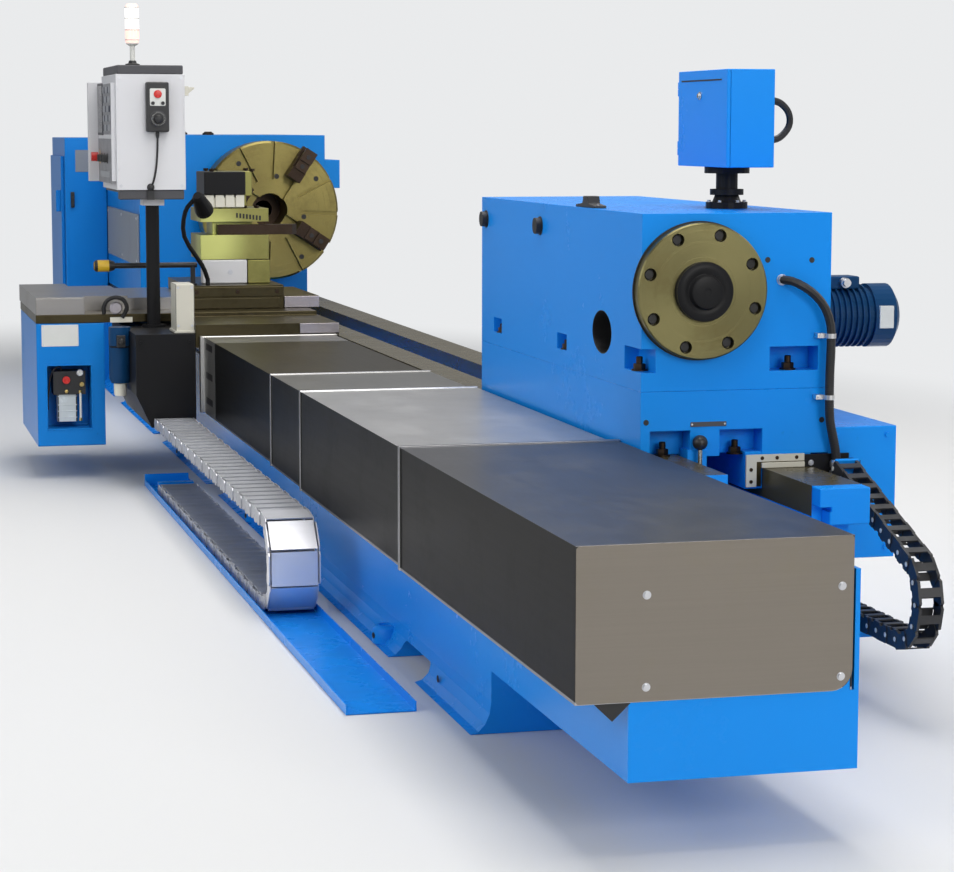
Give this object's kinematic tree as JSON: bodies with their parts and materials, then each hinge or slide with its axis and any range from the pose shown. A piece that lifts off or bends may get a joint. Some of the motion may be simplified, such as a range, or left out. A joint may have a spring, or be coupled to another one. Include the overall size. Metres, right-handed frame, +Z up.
{
  "type": "cnc turning lathe",
  "caption": "Heavy flat-bed turning lathe with chuck, carriage under telescopic way covers, pendant control, tool post, motor-driven tailstock and cable chains.",
  "frame": {"origin": "on the floor under the bed, below the spindle nose", "axes": "+X from the headstock to the tailstock end, -Y to the operator's side, +Z up"},
  "size_m": [12.0503, 2.315, 2.235],
  "materials": {
    "machine_paint": "gloss blue enamel",
    "panel_grey": "satin grey",
    "motor_paint": "satin navy",
    "cast_iron": "machined",
    "belt_rubber": "matt",
    "bright_steel": "ground",
    "oiled_steel": "turned, with a yellow oil film",
    "dark_steel": "blackened",
    "stainless": "brushed sheet",
    "black_paint": "satin black",
    "black_plastic": "matt",
    "red_plastic": "gloss",
    "white_paint": "satin white",
    "cable_rubber": "matt",
    "lamp_red": "clear lens"
  },
  "bodies": {
    "frame": {"bed": "machine_paint", "bed_extension": "machine_paint", "end_stop_block": "machine_paint", "headstock_body": "machine_paint", "headstock_side_panel": "panel_grey", "drive_cabinet": "machine_paint", "main_motor": "motor_paint", "drive_belt": "belt_rubber", "way_cover_1": "stainless", "chain_tray": "machine_paint"},
    "spindle": {"spindle": "bright_steel", "spindle_pulley": "cast_iron", "chuck_body": "oiled_steel"},
    "jaw_1": {"chuck_jaw_1": "dark_steel"},
    "jaw_2": {"chuck_jaw_2": "dark_steel"},
    "jaw_3": {"chuck_jaw_3": "dark_steel"},
    "jaw_4": {"chuck_jaw_4": "dark_steel"},
    "motor_pulley": {"motor_pulley": "cast_iron"},
    "cabinet_door": {"cabinet_door": "machine_paint"},
    "way_cover_2": {"way_cover_2": "stainless"},
    "way_cover_3": {"way_cover_3": "stainless"},
    "carriage": {"saddle": "oiled_steel", "apron_box": "black_paint", "drive_box": "machine_paint", "lubrication_pump": "black_plastic", "cross_cover_fixed": "stainless", "way_cover_4": "stainless", "pendant_post": "black_paint"},
    "pump_button": {"pump_button": "red_plastic"},
    "cross_cover_middle": {"cross_cover_middle": "stainless"},
    "cross_slide": {"cross_slide": "oiled_steel", "cross_cover_moving": "stainless", "tool_post_base": "white_paint", "work_lamp": "black_paint", "coolant_pipe": "black_plastic"},
    "tool_head": {"tool_head": "oiled_steel", "turning_tool": "bright_steel"},
    "console": {"control_box": "white_paint", "hand_unit": "black_plastic", "hand_cable": "cable_rubber", "signal_light": "lamp_red"},
    "stop_button": {"stop_button": "red_plastic"},
    "hand_dial": {"hand_dial": "black_plastic"},
    "tailstock": {"tailstock_base": "machine_paint", "tailstock_body": "machine_paint", "rear_flange": "oiled_steel", "conduit_mast": "black_paint", "junction_box": "machine_paint", "box_cable": "cable_rubber", "tailstock_motor": "motor_paint", "conduit": "cable_rubber", "chain_box": "machine_paint"},
    "quill": {"quill": "bright_steel", "dead_centre": "bright_steel"},
    "clamp_lever": {"clamp_lever": "bright_steel"},
    "junction_door": {"junction_door": "machine_paint"},
    "steel_chain_lower": {"steel_chain_lower": "bright_steel"},
    "steel_chain_upper": {"steel_chain_upper": "bright_steel"},
    "black_chain_lower": {"black_chain_lower": "black_plastic"},
    "black_chain_upper": {"black_chain_upper": "black_plastic"}
  },
  "joints": [
    {"name": "spindle_turn", "type": "hinge", "parent": "frame", "child": "spindle", "pos_m": [0, 0.52, 1.19], "axis": [1, 0, 0], "continuous": true},
    {"name": "jaw_1_slide", "type": "slide", "parent": "spindle", "child": "jaw_1", "axis": [0, 0.5446, 0.8387], "range_m": [-0.1, 0.02]},
    {"name": "jaw_2_slide", "type": "slide", "parent": "spindle", "child": "jaw_2", "axis": [0, -0.8387, 0.5446], "range_m": [-0.05, 0.04]},
    {"name": "jaw_3_slide", "type": "slide", "parent": "spindle", "child": "jaw_3", "axis": [0, -0.5446, -0.8387], "range_m": [-0.05, 0.04]},
    {"name": "jaw_4_slide", "type": "slide", "parent": "spindle", "child": "jaw_4", "axis": [0, 0.8387, -0.5446], "range_m": [-0.04, 0.05]},
    {"name": "motor_turn", "type": "hinge", "parent": "frame", "child": "motor_pulley", "pos_m": [-2.04, 0.3, 0.4], "axis": [1, 0, 0], "continuous": true},
    {"name": "cabinet_door_swing", "type": "hinge", "parent": "frame", "child": "cabinet_door", "pos_m": [-2.6703, -0.4903, 0.12], "axis": [0, 0, 1], "range_deg": [-110, 0]},
    {"name": "carriage_slide", "type": "slide", "parent": "frame", "child": "carriage", "axis": [1, 0, 0], "range_m": [-1, 2.8]},
    {"name": "way_cover_2_slide", "type": "slide", "parent": "frame", "child": "way_cover_2", "axis": [1, 0, 0], "range_m": [-0.321, 0.8988]},
    {"name": "way_cover_3_slide", "type": "slide", "parent": "frame", "child": "way_cover_3", "axis": [1, 0, 0], "range_m": [-0.407, 1.1396]},
    {"name": "steel_chain_lower_slide", "type": "slide", "parent": "frame", "child": "steel_chain_lower", "axis": [1, 0, 0], "range_m": [-0.5, 1.4], "deforming": ["steel_chain_lower"]},
    {"name": "steel_chain_upper_slide", "type": "slide", "parent": "carriage", "child": "steel_chain_upper", "axis": [1, 0, 0], "range_m": [-1.4, 0.5], "deforming": ["steel_chain_upper"]},
    {"name": "pump_button_press", "type": "slide", "parent": "carriage", "child": "pump_button", "axis": [-1, 0, 0], "range_m": [0, 0.008], "stiffness_N_per_m": 500, "springref_m": -0.002},
    {"name": "cross_feed", "type": "slide", "parent": "carriage", "child": "cross_slide", "axis": [0, 1, 0], "range_m": [-0.15, 0.22]},
    {"name": "cross_cover_slide", "type": "slide", "parent": "carriage", "child": "cross_cover_middle", "axis": [0, 1, 0], "range_m": [-0.075, 0.11]},
    {"name": "tool_head_turn", "type": "hinge", "parent": "cross_slide", "child": "tool_head", "pos_m": [2.2, -0.02, 1.02], "axis": [0, 0, 1], "continuous": true},
    {"name": "console_swivel", "type": "hinge", "parent": "carriage", "child": "console", "pos_m": [2.745, -0.47, 1.3], "axis": [0, 0, 1], "range_deg": [-90, 90]},
    {"name": "stop_button_press", "type": "slide", "parent": "console", "child": "stop_button", "axis": [0, 1, 0], "range_m": [0, 0.008], "stiffness_N_per_m": 800, "springref_m": -0.002},
    {"name": "hand_dial_turn", "type": "hinge", "parent": "console", "child": "hand_dial", "pos_m": [2.95, -0.462, 1.704], "axis": [1, 0, 0], "continuous": true},
    {"name": "tailstock_slide", "type": "slide", "parent": "frame", "child": "tailstock", "axis": [1, 0, 0], "range_m": [-2.5, 0.3]},
    {"name": "quill_feed", "type": "slide", "parent": "tailstock", "child": "quill", "axis": [-1, 0, 0], "range_m": [0, 0.3]},
    {"name": "clamp_lever_turn", "type": "hinge", "parent": "tailstock", "child": "clamp_lever", "pos_m": [7.7, 0.52, 0.655], "axis": [1, 0, 0], "range_deg": [-35, 35]},
    {"name": "junction_door_swing", "type": "hinge", "parent": "tailstock", "child": "junction_door", "pos_m": [7.02, 0.6777, 1.545], "axis": [0, 0, 1], "range_deg": [-120, 0]},
    {"name": "black_chain_lower_slide", "type": "slide", "parent": "frame", "child": "black_chain_lower", "axis": [1, 0, 0], "range_m": [-1.25, 0.15], "deforming": ["black_chain_lower"]},
    {"name": "black_chain_upper_slide", "type": "slide", "parent": "tailstock", "child": "black_chain_upper", "axis": [1, 0, 0], "range_m": [-0.15, 1.25], "deforming": ["black_chain_upper"]}
  ],
  "couplings": [
    {"joint": "motor_turn", "follows": "spindle_turn", "ratio": 1.8182},
    {"joint": "way_cover_2_slide", "follows": "carriage_slide", "ratio": 0.321},
    {"joint": "way_cover_3_slide", "follows": "carriage_slide", "ratio": 0.407},
    {"joint": "steel_chain_lower_slide", "follows": "carriage_slide", "ratio": 0.5},
    {"joint": "steel_chain_upper_slide", "follows": "carriage_slide", "ratio": -0.5},
    {"joint": "cross_cover_slide", "follows": "cross_feed", "ratio": 0.5},
    {"joint": "black_chain_lower_slide", "follows": "tailstock_slide", "ratio": 0.5},
    {"joint": "black_chain_upper_slide", "follows": "tailstock_slide", "ratio": -0.5}
  ]
}
